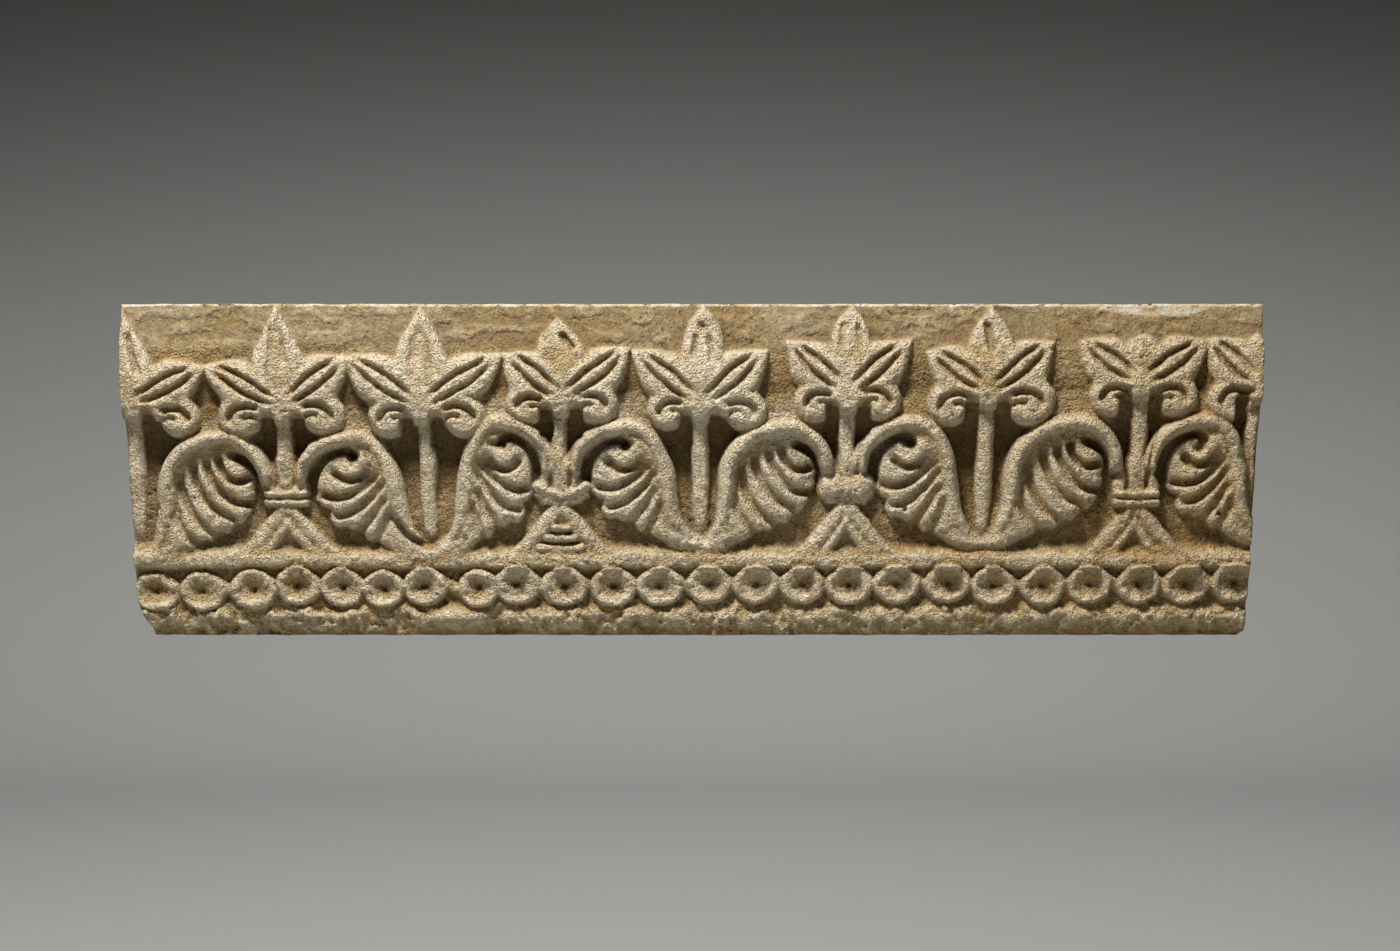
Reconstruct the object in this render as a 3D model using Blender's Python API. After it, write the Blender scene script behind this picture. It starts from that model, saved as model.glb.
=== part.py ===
"""A block of moulded and carved stucco frieze, made to be built in under the head of a wall.

Its face stands upright at the head and leans back below, and it carries, from the top, a plain band,
a row of palmette leaves on stems, pairs of fluted wings between them, a roll and a row of looped eyes.
"""

import math
from collections import namedtuple

import bmesh
import bpy
import numpy as np

# The block, in metres. Its flat back lies on y = 0, it faces -Y, and its middle is at x = 0, z = 0.
LENGTH = 1.000
HEIGHT = 0.296
DEPTH = 0.165
FOOT_DEPTH = 0.060
HEAD_HEIGHT = 0.071
KNEE_LENGTH = 0.020
CHIP_WIDTH = 0.012
CHIP_HEIGHT = 0.035
CORNER_WEAR = 0.006
WEAR_REACH = 0.050

# How far each level of the carving lies behind the fronts of the leaves, in metres.
BAND_BACK = 0.011
GAP_BACK = 0.018
GROUND_BACK = 0.032
TROUGH_BACK = 0.017
ROLL_BACK = 0.003
EYE_GROUND_BACK = 0.0125
FILLET_BACK = 0.003
FILLET_LEAN = 0.015

# The carving is drawn in thousandths of the block's length and in 296ths of its height, which are
# millimetres on the real block.
ACROSS = LENGTH / 1000
UP = HEIGHT / 296
BAND_FOOT = 118
GAP_LEVEL = 62
GROUND_HEAD = 24
GROUND_FOOT = -48
ROLL_HEAD = -74
ROLL_FOOT = -88
FILLET_HEAD = -123
FILLET_FOOT = -148
STEM_HALF = 7.5
STEM_FOOT = -68
EYE_HALF_HEIGHT = 17
EYE_CREST = 0.8

# Hollows are partly filled, in mm: what lies deeper than this below the level around it, which is the
# average over this reach each way, comes up by this share.
FILL_REACH = 7.5
FILL_DEPTH = 3.5
FILL_SHARE = 0.35

# The eyes of the lowest row: the place of each pit, and half the length of its ring.
EYES = ((-482, -107, 21), (-440, -106, 21), (-394, -105, 21), (-354, -102, 20), (-314, -103, 20),
        (-277, -104, 19), (-240, -102, 20), (-192, -104, 18), (-157, -101, 21), (-115, -102, 21),
        (-71, -102, 21), (-28, -102, 21), (15, -101, 20), (57, -101, 21), (99, -101, 20),
        (141, -101, 21), (183, -101, 21), (229, -100, 21), (270, -102, 20), (314, -102, 20),
        (356, -101, 20), (401, -100, 20), (443, -100, 21), (487, -99, 21))

# Face mesh: squares of the grid it starts from, and the triangles that are left of it.
GRID_SQUARE = 0.0025
FACE_TRIANGLES = 8600

STEMS = (-492, -360, -234, -117, 7, 137, 259, 395, 492.5)

# A leaf's heart is a place on the face, and its other places are counted from the heart.
# Where an end of the block cuts through a leaf, the lobes that are cut away are left out.
Leaf = namedtuple("Leaf", "heart crown crown_half tips curls blunt framed", defaults=(2.4, False))
LEAVES = (
    Leaf((-492, 58), (-3, 78), 23, ((67, 34),), ((42, -10, 17),), 1.3),
    Leaf((-360, 54), (-4, 91), 24, ((-67, 39), (60, 46)), ((-38, -6, 18), (36, -4, 18)), 1.25, True),
    Leaf((-238, 54), (1, 91), 26, ((-67, 47), (72, 49)), ((-29, -6, 17), (38, -5, 18)), 1.25, True),
    Leaf((-115, 62), (-2, 73), 24, ((-50, 41), (61, 45)), ((-31, -4, 16), (32, -3, 17)), 2.2),
    Leaf((8, 57), (2, 89), 19, ((-59, 48), (57, 49)), ((-30, -3, 16), (40, -3, 17)), 3),
    Leaf((137, 65), (2, 80), 18, ((-54, 49), (53, 50)), ((-29, -4, 17), (29, -2, 17)), 3),
    Leaf((260, 68), (2, 77), 24, ((-54, 37), (56, 45)), ((-34, -9, 18), (38, -7, 20)), 1.5),
    Leaf((393, 75), (3, 46), 23, ((-53, 39), (58, 40)), ((-27, -9, 17), (32, -9, 18)), 2.6),
    Leaf((495, 74), (-2, 48), 20, ((-44, 42),), ((-24, -10, 19),)),
)

# A wing springs outwards from its stem. Reach, apex and foot are the size of its arch.
Wing = namedtuple("Wing", "stem side form reach apex foot")

# The two forms of wing, drawn with x counted outwards from the stem: the line of the arched rim,
# the scalloped inner edge, the slot under the arch and the flutes.
Form = namedtuple("Form", "reach apex foot arch edge slot flutes")
FAN = Form(
    reach=107, apex=39, foot=-65,
    arch=((17, -10), (19, 10), (28, 27), (44, 38), (64, 38), (84, 31), (98, 17), (105, 0), (107, -25),
          (112, -46), (119, -58), (130, -66)),
    edge=((27, 16), (27, 5), (30, -6), (29, -10), (33, -20), (34, -24), (41, -34), (46, -35), (54, -44),
          (59, -43), (69, -51), (74, -50), (86, -57), (100, -63), (112, -69), (126, -70)),
    slot=((46, 24), (37, 20), (27, 12), (23, -2), (24, -24)),
    flutes=(((59, 24), (56, 12), (48, 3), (39, 2), (30, 6)),
            ((69, 22), (67, 8), (58, -7), (45, -17), (28, -19)),
            ((81, 19), (80, 5), (75, -9), (64, -23), (43, -34)),
            ((94, 10), (93, -3), (88, -20), (79, -35), (62, -48)),
            ((101, -6), (100, -21), (96, -36), (88, -48), (77, -58))),
)
CURL = Form(
    reach=92, apex=43, foot=-61,
    arch=((11, -10), (12, 10), (19, 25), (31, 35), (46, 41), (63, 42), (76, 34), (85, 18), (90, 0),
          (93, -20), (98, -40), (109, -56), (123, -62)),
    edge=((24, 12), (24, 0), (24, -10), (31, -19), (37, -22), (36, -30), (41, -38), (49, -38), (58, -44),
          (64, -44), (70, -52), (80, -54), (94, -64), (110, -68), (122, -66)),
    slot=((23, -10), (24, 6), (31, 21), (44, 30), (55, 29), (58, 21)),
    flutes=(((39, 13), (46, 6), (56, 4), (66, 8), (72, 15)),
            ((28, -8), (40, -12), (54, -9), (68, 0), (79, 12)),
            ((36, -29), (50, -27), (62, -20), (74, -8), (83, 5)),
            ((54, -48), (65, -38), (74, -26), (83, -10)),
            ((70, -58), (78, -47), (84, -35), (88, -22))),
)
WINGS = (
    Wing(1, -1, FAN, 107, 31, -75),
    Wing(1, 1, CURL, 97, 31, -69),
    Wing(3, -1, CURL, 83, 44, -67),
    Wing(3, 1, CURL, 95, 41, -62),
    Wing(5, -1, FAN, 107, 40, -65),
    Wing(5, 1, CURL, 92, 44, -61),
    Wing(7, -1, FAN, 112, 43, -62),
    Wing(7, 1, CURL, 90, 46, -58),
)

# The four stems that spring from the roll have a collar and a forked or a barred foot.
COLLARS = ((1, "rings"), (3, "crescent"), (5, "block"), (7, "rings"))
FEET = ((1, "fork"), (3, "bars"), (5, "fork"), (7, "fork"))

# Tool marks on the crowns of the leaves: the line, its width and its depth.
MARKS = (
    (((-492, 124), (-489, 106), (-483, 84)), 9, 6),
    (((-369, 128), (-368, 103)), 6, 4),
    (((-359, 128), (-356, 96)), 6, 4),
    (((-244, 120), (-247, 92)), 7, 3),
    (((-232, 120), (-229, 92)), 7, 3),
    (((-114, 123), (-110, 116), (-103, 107)), 8, 7),
    (((3, 122), (-1, 96)), 8.5, 5),
    (((13, 122), (18, 97)), 8.5, 5),
    (((133, 134), (130, 108)), 8.5, 5),
    (((145, 132), (147, 108)), 8, 5),
    (((258, 132), (262, 104)), 10, 6.5),
    (((-268, -35), (-262, -45), (-253, -57), (-240, -65), (-226, -68)), 10, 10),
)
# Holes: the place, the half length, the half height and the depth.
HOLES = (
    ((-299, 15), 8, 6, 9),
    ((-57, 25), 10, 6, 9),
    ((-174, 25), 9, 6, 8),
    ((191, 26), 9, 6, 8),
    ((8, 127), 6.5, 7, 6),
    ((448, 21), 8, 7.5, 9),
    ((190, -32), 3.5, 3.5, 8),
    ((469, -36), 3.5, 3.5, 8),
    ((-477, -17), 4, 4, 5),
)


def step_between(low, high, v):
    """0 before low, 1 after high, and a smooth step between them."""
    t = np.clip((v - low) / (high - low), 0, 1)
    return t * t * (3 - 2 * t)


def blended_max(a, b, blend):
    near = np.maximum(blend - np.abs(a - b), 0) / blend
    return np.maximum(a, b) + near * near * blend / 4


def smooth_line(points, per_span=6):
    """A Catmull-Rom line through a few points."""
    p = np.array(points, float)
    if len(p) < 3:
        return p
    p = np.vstack([2 * p[0] - p[1], p, 2 * p[-1] - p[-2]])
    t = (np.arange(per_span) / per_span)[:, None]
    spans = []
    for a, b, c, d in zip(p, p[1:], p[2:], p[3:]):
        bend = (2 * a - 5 * b + 4 * c - d) * t ** 2 + (3 * b - a - 3 * c + d) * t ** 3
        spans.append(b + ((c - a) * t + bend) / 2)
    return np.vstack(spans + [p[-2:-1]])


def from_line(x, z, line):
    """Each place's distance from a line, and the share of the line before its nearest point."""
    spans = line[1:] - line[:-1]
    lengths = np.hypot(spans[:, 0], spans[:, 1])
    starts = np.cumsum(lengths) - lengths
    nearest = np.full(x.shape, 1e6)
    along = np.zeros(x.shape)
    for (ax, az), (sx, sz), length, start in zip(line, spans, lengths, starts):
        t = np.clip(((x - ax) * sx + (z - az) * sz) / max(length * length, 1e-9), 0, 1)
        distance = np.hypot(x - ax - t * sx, z - az - t * sz)
        closer = distance < nearest
        nearest = np.where(closer, distance, nearest)
        along = np.where(closer, start + t * length, along)
    return nearest, along / lengths.sum()


def inside_outline(x, z, outline):
    """Distance from a closed outline, above 0 inside it and below 0 outside."""
    nearest, _ = from_line(x, z, np.vstack([outline, outline[:1]]))
    inside = np.zeros(x.shape, bool)
    for (ax, az), (bx, bz) in zip(outline, np.roll(outline, -1, axis=0)):
        if az != bz:
            inside ^= ((az > z) != (bz > z)) & (x < (bx - ax) * (z - az) / (bz - az) + ax)
    return np.where(inside, nearest, -nearest)


def inside_lobe(x, z, base, tip, half, belly, root=0.6, blunt=1.7):
    """Distance inside a pointed lobe from base to tip, widest at the share belly of its length."""
    axis = np.subtract(tip, base)
    length = math.hypot(*axis)
    ux, uz = axis / length
    along = ((x - base[0]) * ux + (z - base[1]) * uz) / length
    across = np.abs((z - base[1]) * ux - (x - base[0]) * uz)
    swell = root + (1 - root) * np.sin(np.clip(along / belly, 0, 1) * math.pi / 2)
    taper = 1 - np.clip((along - belly) / (1 - belly), 0, 1) ** blunt
    width = half * np.where(along < belly, swell, taper)
    past = np.maximum(along - 1, -along) * length
    return np.where(past > 0, -np.hypot(np.maximum(across - width, 0), past), 0.9 * (width - across))


def shoulder(inside, soft):
    """The rounded edge of a carved form: 0 outside its outline, 1 from soft inside it."""
    foot = 1.5
    t = np.clip((inside + foot) / (soft + foot), 0, 1)
    return np.sqrt(1 - (1 - t) ** 2) * step_between(0, 0.2, t)


class Carving:
    """The carved face at the places x, z of its drawing: the ground, and the height carved on it."""

    def __init__(self, x, z):
        self.x = x
        self.z = z
        back = BAND_BACK + (GAP_BACK - BAND_BACK) * step_between(BAND_FOOT, GAP_LEVEL, z)
        back += (GROUND_BACK - GAP_BACK) * step_between(GAP_LEVEL, GROUND_HEAD, z)
        back += (TROUGH_BACK - GROUND_BACK) * step_between(GROUND_HEAD, GROUND_FOOT, z)
        back += (ROLL_BACK - TROUGH_BACK) * step_between(GROUND_FOOT - 4, ROLL_HEAD, z)
        back += (EYE_GROUND_BACK - ROLL_BACK) * step_between(ROLL_HEAD - 4, ROLL_FOOT, z)
        edge = FILLET_HEAD + 1.8 * np.sin(x * 0.061) + 1.2 * np.sin(x * 0.143 + 1)
        back += (FILLET_BACK - EYE_GROUND_BACK) * step_between(edge + 5, edge - 6, z)
        back += FILLET_LEAN * step_between(FILLET_HEAD - 6, FILLET_FOOT - 4, z)
        self.ground = back * 1000
        self.height = np.zeros(x.shape)

    def near(self, points, margin):
        low = np.min(points, axis=0) - margin
        high = np.max(points, axis=0) + margin
        across = (self.x > low[0]) & (self.x < high[0])
        return np.nonzero(across & (self.z > low[1]) & (self.z < high[1]))[0]

    def stand(self, at, height, blend=3):
        """Raises the carving at these places to this height over the ground."""
        raised = height > 0
        at = at[raised]
        self.height[at] = blended_max(self.height[at], height[raised], blend)

    def bead(self, points, width, back, blend=3):
        """A rounded strand along a line, whose crest lies this far behind the fronts of the leaves."""
        line = smooth_line(points)
        at = self.near(line, width)
        distance, _ = from_line(self.x[at], self.z[at], line)
        round_top = np.sqrt(np.clip(1 - (2 * distance / width) ** 2, 0, 1))
        self.stand(at, (self.ground[at] - back) * round_top, blend)

    def flute(self, points, width, depth, fade=0.2):
        """A rounded groove along a line, dying out at both ends, no deeper than the ground."""
        line = smooth_line(points)
        at = self.near(line, width)
        distance, along = from_line(self.x[at], self.z[at], line)
        ends = step_between(-0.05, fade, along) * step_between(-0.05, fade, 1 - along)
        hollow = step_between(width / 2, width / 9, distance)
        self.height[at] = np.maximum(self.height[at] - depth * ends * hollow, np.minimum(self.height[at], 0))

    def pit(self, centre, half_length, half_height, depth):
        at = self.near([centre], max(half_length, half_height))
        dx = (self.x[at] - centre[0]) / half_length
        dz = (self.z[at] - centre[1]) / half_height
        lowered = self.height[at] - depth * (0.5 + 0.5 * np.cos(np.clip(np.hypot(dx, dz), 0, 1) * math.pi))
        self.height[at] = np.maximum(lowered, np.minimum(self.height[at], -7))


def carve_stem(face, x, head):
    at = face.near([(x, head), (x, STEM_FOOT)], 10)
    narrowed = STEM_HALF - 2.5 * step_between(0, STEM_FOOT, face.z[at])
    inside = narrowed - np.abs(face.x[at] - x)
    foot = step_between(STEM_FOOT, STEM_FOOT + 18, face.z[at])
    face.stand(at, (face.ground[at] - 11) * shoulder(inside, 5.5) * foot * (face.z[at] < head))


def on_wing(wing, points):
    """Places of a wing's form, put on its stem at its reach and height."""
    p = np.array(points, float)
    form = wing.form
    x = STEMS[wing.stem] + wing.side * p[:, 0] * wing.reach / form.reach
    z = wing.foot + (p[:, 1] - form.foot) * (wing.apex - wing.foot) / (form.apex - form.foot)
    return np.stack([x, z], axis=1)


def carve_wing(face, wing):
    arch = smooth_line(on_wing(wing, wing.form.arch))
    edge = smooth_line(on_wing(wing, wing.form.edge), 4)
    apex = arch[arch[:, 1].argmax()]
    # a soft mound of the ground above the arch
    at = face.near([apex], 44)
    mound = np.hypot((face.x[at] - apex[0]) / 42, (face.z[at] - apex[1] - 2) / 27)
    face.stand(at, (face.ground[at] - 10) * np.clip(1 - mound ** 2, 0, 1), 8)
    # the plate of the wing, its flutes, and the strand of the arch over them
    at = face.near(np.vstack([arch, edge]), 12)
    x = face.x[at]
    z = face.z[at]
    inside = inside_outline(x, z, np.vstack([arch[14:], edge[::-1]]))
    distance, along = from_line(x, z, arch)
    far = 0.85 if wing.form is FAN else 0.5
    dished = 3 + 8 * step_between(far, far - 0.2, along) * step_between(40, 6, distance)
    face.stand(at, (face.ground[at] - dished) * shoulder(inside + 1, 9))
    for number, flute in enumerate(wing.form.flutes):
        face.flute(on_wing(wing, flute), 11.5, 11 - 1.4 * number, 0.12)
    face.flute(on_wing(wing, wing.form.slot), 11, 20 if wing.form is FAN else 13, 0.08)
    half = np.interp(along, (0, 0.12, 0.4, 0.7, 1), (6, 7, 8.5, 8.5, 5))
    sink = (1 - 0.45 * step_between(0.85, 1, along)) * step_between(-0.01, 0.07, along)
    face.stand(at, (face.ground[at] - 1) * sink * shoulder(half - distance, 8))


def carve_calyx(face, x):
    """The mass in which a stem and its two arches join above the collar."""
    at = face.near([(x, -28), (x, 34)], 26)
    inside = inside_lobe(face.x[at], face.z[at], (x, -28), (x, 30), 21, 0.3, 0.9, 1.2)
    face.stand(at, (face.ground[at] - 9) * shoulder(inside, 9), 4)
    for side in (-1, 1):
        face.flute([(x + side * 13, 26), (x + side * 10, 8), (x + side * 8, -14)], 6, 7, 0.1)


def carve_collar(face, x, kind):
    if kind == "crescent":
        for drop, width, back in ((0, 12, 5), (7, 9, 9)):
            line = ((-19, -12), (-10, -17), (0, -20), (12, -18), (22, -12))
            face.bead([(x + dx, z - drop) for dx, z in line], width, back)
        return
    if kind == "block":
        face.bead([(x - 12, -13), (x, -15), (x + 12, -13)], 30, 4)
        return
    for level in (-19, -27):
        face.bead([(x - 17, level + 1), (x, level), (x + 17, level + 1)], 9, 5, 2)


def carve_foot(face, x, kind):
    for side in (-1, 1):
        face.bead([(x + side * 4, -34), (x + side * 18, -52), (x + side * 38, -76)], 17, 7, 4)
        if kind == "fork":
            face.bead([(x, -44), (x + side * 9, -57), (x + side * 22, -74)], 11, 6, 2)
    if kind == "bars":
        for level, half in ((-49, 6), (-58, 13), (-67, 19)):
            face.bead([(x - half, level), (x, level - 1), (x + half, level)], 8.5, 5, 2)


def carve_leaf(face, leaf):
    heart = np.array(leaf.heart)
    at = face.near([heart], 100)
    x = face.x[at]
    z = face.z[at]
    inside = np.maximum(21 - np.hypot(x - heart[0], z - heart[1] - 16),
                        14 - np.hypot(x - heart[0], z - heart[1]))
    crown = inside_lobe(x, z, heart, heart + leaf.crown, leaf.crown_half, 0.42, 1.15, leaf.blunt)
    face.stand(at, (face.ground[at] - 1) * shoulder(crown, 6), 2)
    for tip in leaf.tips:
        lobe = inside_lobe(x, z, heart + (0, 3), heart + tip, 20, 0.6, 0.5, blunt=1.3)
        inside = blended_max(inside, lobe, 6)
    for dx, dz, radius in leaf.curls:
        middle = heart + (dx, dz)
        disc = radius + 1 - np.hypot(x - middle[0], z - middle[1])
        neck, _ = from_line(x, z, np.array([heart + (0, -1), middle + (0, 0.45 * radius)]))
        inside = blended_max(inside, np.maximum(disc, 10 - neck), 6)
    inside += 1.5 * step_between(-10, 25, z - heart[1])
    face.stand(at, (face.ground[at] - 1) * shoulder(inside, 8.5), 3)
    for tip in leaf.tips:
        flute_lobe(face, heart + (0, 3), np.array(tip), ((0.1, 3.5), (0.5, 6.2), (0.88, 2.6)), 8, 8)
    if leaf.framed:
        panel = inside_lobe(x, z, heart + (0, 18), heart + 0.94 * np.array(leaf.crown), 12, 0.3, 0.9, 1.2)
        face.height[at] -= 3.5 * step_between(-1, 4, panel)
    for dx, dz, radius in leaf.curls:
        flute_curl(face, heart + (dx, dz), math.copysign(radius, dx))
        # the notch that parts the curl from the stem
        notch = heart + (math.copysign(13.5, dx), -6)
        face.flute([notch, notch + (0, -12), notch + (0, -26)], 15, 30, 0.1)


def flute_lobe(face, base, axis, line, width, depth):
    """A flute on each side of a lobe's rib, given by shares of its length and distances off the rib."""
    off = np.array((-axis[1], axis[0])) / math.hypot(*axis)
    for side in (-1, 1):
        face.flute([base + share * axis + side * across * off for share, across in line], width, depth, 0.25)


def flute_curl(face, middle, outwards):
    """The two turned flutes of a curl."""
    radius = abs(outwards)
    outer = ((-1.1, 0.36), (-0.4, 0.5), (0.14, 0.38), (0.4, 0.02), (0.28, -0.28))
    inner = ((-0.95, -0.1), (-0.5, 0.06), (-0.18, -0.06))
    for line, width, depth in ((outer, 9.5, 8), (inner, 8, 5)):
        face.flute([middle + (u * outwards, v * radius) for u, v in line], width, depth)


def carve_eyes(face):
    """A row of rings, each with a hollow that narrows to a small hole, tied by slanting strands."""
    for x, z, half in EYES:
        at = face.near([(x, z)], half + 4)
        reach = np.hypot((face.x[at] - x) / half, (face.z[at] - z) / EYE_HALF_HEIGHT)
        outer = np.sqrt(np.clip(1 - ((reach - EYE_CREST) / (1.06 - EYE_CREST)) ** 2, 0, 1))
        inner = 0.15 + 0.85 * reach / EYE_CREST
        high = 10.5 * (0.65 + 0.35 * step_between(-500, -400, x))
        face.stand(at, high * np.where(reach < EYE_CREST, inner, outer), 2)
        face.pit((x, z), 5, 4, 5)
    for (ax, az, a_half), (bx, bz, b_half) in zip(EYES, EYES[1:]):
        tie = (ax + a_half + bx - b_half) / 2
        level = (az + bz) / 2
        face.bead([(tie - 10, level + 8), (tie, level + 1), (tie + 10, level - 8)], 11, 5.5, 3)


def carve(face):
    """Everything that is carved on the face, from the stems outwards."""
    for leaf, stem in zip(LEAVES, STEMS):
        carve_stem(face, stem, leaf.heart[1])
    for wing in WINGS:
        carve_wing(face, wing)
    for stem, kind in FEET:
        carve_foot(face, STEMS[stem], kind)
    for stem, kind in COLLARS:
        carve_calyx(face, STEMS[stem])
        carve_collar(face, STEMS[stem], kind)
    for leaf in LEAVES:
        carve_leaf(face, leaf)
    carve_eyes(face)
    for line, width, depth in MARKS:
        face.flute(line, width, depth)
    for hole in HOLES:
        face.pit(*hole)


def filled(relief, square):
    """The relief with its hollows partly filled, as wet stucco leaves them; square is in mm."""
    soft = softened(relief, round(FILL_REACH / square)) - FILL_DEPTH
    return relief + FILL_SHARE * np.maximum(soft - relief, 0)


def softened(grid, reach):
    """The grid averaged over squares of this many cells each way, three times over."""
    for _ in range(3):
        for axis in (0, 1):
            ends = [(reach + 1, reach) if axis == side else (0, 0) for side in (0, 1)]
            total = np.cumsum(np.pad(grid, ends, "edge"), axis=axis)
            wide = 2 * reach + 1
            later = np.take(total, range(wide, total.shape[axis]), axis=axis)
            grid = (later - np.take(total, range(total.shape[axis] - wide), axis=axis)) / wide
    return grid


def carved_front(columns, rows):
    """How far each point of the face's grid, in metres, lies in front of the flat back."""
    x, z = np.meshgrid(np.linspace(-LENGTH / 2, LENGTH / 2, columns + 1),
                       np.linspace(-HEIGHT / 2, HEIGHT / 2, rows + 1), indexing="ij")
    face = Carving(x.ravel() / ACROSS, z.ravel() / UP)
    carve(face)
    relief = filled((face.height - face.ground).reshape(x.shape), GRID_SQUARE * 1000)
    below_head = HEIGHT / 2 - HEAD_HEIGHT - z
    slope = (DEPTH - FOOT_DEPTH) / (HEIGHT - HEAD_HEIGHT)
    front = relief / 1000 - slope * (below_head + np.hypot(below_head, KNEE_LENGTH)) / 2
    return DEPTH + front - front.max()


def worn_ends(x, z):
    """Moves the face's ends in at the chipped left foot and the worn right foot."""
    chip = CHIP_WIDTH * step_between(CHIP_HEIGHT - HEIGHT / 2, -HEIGHT / 2, z)
    wear = CORNER_WEAR * step_between(CORNER_WEAR - HEIGHT / 2, -HEIGHT / 2, z)
    x = x + chip * (1 - step_between(-LENGTH / 2, WEAR_REACH - LENGTH / 2, x))
    return x - wear * step_between(LENGTH / 2 - WEAR_REACH, LENGTH / 2, x)


def carved_face():
    """The carved face as an open mesh, thinned where it is flat."""
    columns = round(LENGTH / GRID_SQUARE)
    rows = round(HEIGHT / GRID_SQUARE)
    form = bmesh.new()
    bmesh.ops.create_grid(form, x_segments=columns, y_segments=rows, size=0.5)
    place = np.array([vertex.co for vertex in form.verts])
    column, row = np.rint((place[:, :2].T + 0.5) * [[columns], [rows]]).astype(int)
    x = place[:, 0] * LENGTH
    z = place[:, 1] * HEIGHT
    depth = carved_front(columns, rows)[column, row]
    for vertex, where in zip(form.verts, zip(worn_ends(x, z), -depth, z)):
        vertex.co = where
    mesh = bpy.data.meshes.new("carved_face")
    form.to_mesh(mesh)
    form.free()
    draft = bpy.data.objects.new("carved_face", mesh)
    bpy.context.scene.collection.objects.link(draft)
    thin = draft.modifiers.new("thin", "DECIMATE")
    thin.ratio = FACE_TRIANGLES / (2 * columns * rows)
    graph = bpy.context.evaluated_depsgraph_get()
    face = bpy.data.meshes.new_from_object(draft.evaluated_get(graph))
    bpy.data.objects.remove(draft)
    return face


def closed_block(face):
    """The block: the face's rim run straight back to y = 0, with flat beds, ends and back."""
    block = bmesh.new()
    block.from_mesh(face)
    rim = [edge for edge in block.edges if edge.is_boundary]
    for vertex in {vertex for edge in rim for vertex in edge.verts}:
        for axis, limit in ((0, LENGTH / 2), (2, HEIGHT / 2)):
            if limit - abs(vertex.co[axis]) < GRID_SQUARE / 4:
                vertex.co[axis] = math.copysign(limit, vertex.co[axis])
    grown = bmesh.ops.extrude_edge_only(block, edges=rim)["geom"]
    for vertex in grown:
        if isinstance(vertex, bmesh.types.BMVert):
            vertex.co.y = 0
    rear = [edge for edge in grown if isinstance(edge, bmesh.types.BMEdge) and edge.is_boundary]
    bmesh.ops.contextual_create(block, geom=rear)
    bmesh.ops.recalc_face_normals(block, faces=block.faces)
    flat = [side for side in block.faces if any(vertex.co.y == 0 for vertex in side.verts)]
    edges = {edge for side in flat for edge in side.edges if all(near in flat for near in edge.link_faces)}
    rear_verts = [vertex for vertex in block.verts if vertex.co.y == 0]
    bmesh.ops.dissolve_limit(block, angle_limit=math.radians(0.05), verts=rear_verts, edges=list(edges))
    return block


def stucco():
    material = bpy.data.materials.new("stucco")
    material.use_nodes = True
    shader = material.node_tree.nodes["Principled BSDF"]
    shader.inputs["Base Color"].default_value = (0.376, 0.283, 0.156, 1)
    shader.inputs["Roughness"].default_value = 0.9
    shader.inputs["Metallic"].default_value = 0
    return material


def main():
    for thing in list(bpy.data.objects):
        bpy.data.objects.remove(thing)
    block = closed_block(carved_face())
    mesh = bpy.data.meshes.new("stucco_panel")
    block.to_mesh(mesh)
    block.free()
    mesh.materials.append(stucco())
    panel = bpy.data.objects.new("stucco_panel", mesh)
    collection = bpy.data.collections.new("decorative_wall_panel")
    bpy.context.scene.collection.children.link(collection)
    collection.objects.link(panel)


main()
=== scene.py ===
"""Decorative wall panel: a block of moulded and carved gypsum stucco frieze.

The block's flat back lies on y = 0 and its carved face looks along -Y. From the head down the face
carries a plain band, a row of palmette leaves on stems, pairs of fluted wings, a roll, a row of
looped eyes and a rough fillet.
"""

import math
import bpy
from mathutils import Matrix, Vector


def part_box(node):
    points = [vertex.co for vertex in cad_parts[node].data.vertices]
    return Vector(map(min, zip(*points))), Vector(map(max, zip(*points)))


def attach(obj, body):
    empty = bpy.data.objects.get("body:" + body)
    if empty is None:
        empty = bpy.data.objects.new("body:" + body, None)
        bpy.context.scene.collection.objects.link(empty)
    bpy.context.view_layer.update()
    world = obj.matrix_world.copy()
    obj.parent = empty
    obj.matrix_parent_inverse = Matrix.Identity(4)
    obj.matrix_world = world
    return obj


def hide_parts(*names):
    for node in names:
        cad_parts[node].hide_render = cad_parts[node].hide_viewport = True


bl_info = {
    "name": "Stucco frieze block",
    "version": (1, 0, 0),
    "blender": (4, 5, 0),
    "location": "View3D > Sidebar > Frieze",
    "description": "Builds a carved stucco frieze block with its material, light and floor",
    "category": "Add Mesh",
}

from collections import namedtuple

import bmesh
import bpy
import numpy as np
from bpy.props import FloatProperty, FloatVectorProperty, IntProperty, PointerProperty
from mathutils import Vector

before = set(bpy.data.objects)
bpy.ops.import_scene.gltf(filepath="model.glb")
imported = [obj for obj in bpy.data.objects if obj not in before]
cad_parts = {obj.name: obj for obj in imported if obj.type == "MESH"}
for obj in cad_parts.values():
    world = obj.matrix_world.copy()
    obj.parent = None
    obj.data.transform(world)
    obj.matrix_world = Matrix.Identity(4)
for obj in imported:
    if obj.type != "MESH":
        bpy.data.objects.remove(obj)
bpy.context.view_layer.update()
LOW, HIGH = np.array(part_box("stucco_panel"))
LENGTH, DEPTH, HEIGHT = HIGH - LOW

# The block's own sizes in metres, as its solid has them.
FOOT_DEPTH = 0.060
HEAD_HEIGHT = 0.071
KNEE_LENGTH = 0.020
CHIP_WIDTH = 0.012
CHIP_HEIGHT = 0.035
CORNER_WEAR = 0.006
WEAR_REACH = 0.050

# How far each level of the carving lies behind the fronts of the leaves, in metres.
BAND_BACK = 0.011
GAP_BACK = 0.018
GROUND_BACK = 0.032
TROUGH_BACK = 0.017
ROLL_BACK = 0.003
EYE_GROUND_BACK = 0.0125
FILLET_BACK = 0.003
FILLET_LEAN = 0.010

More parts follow.
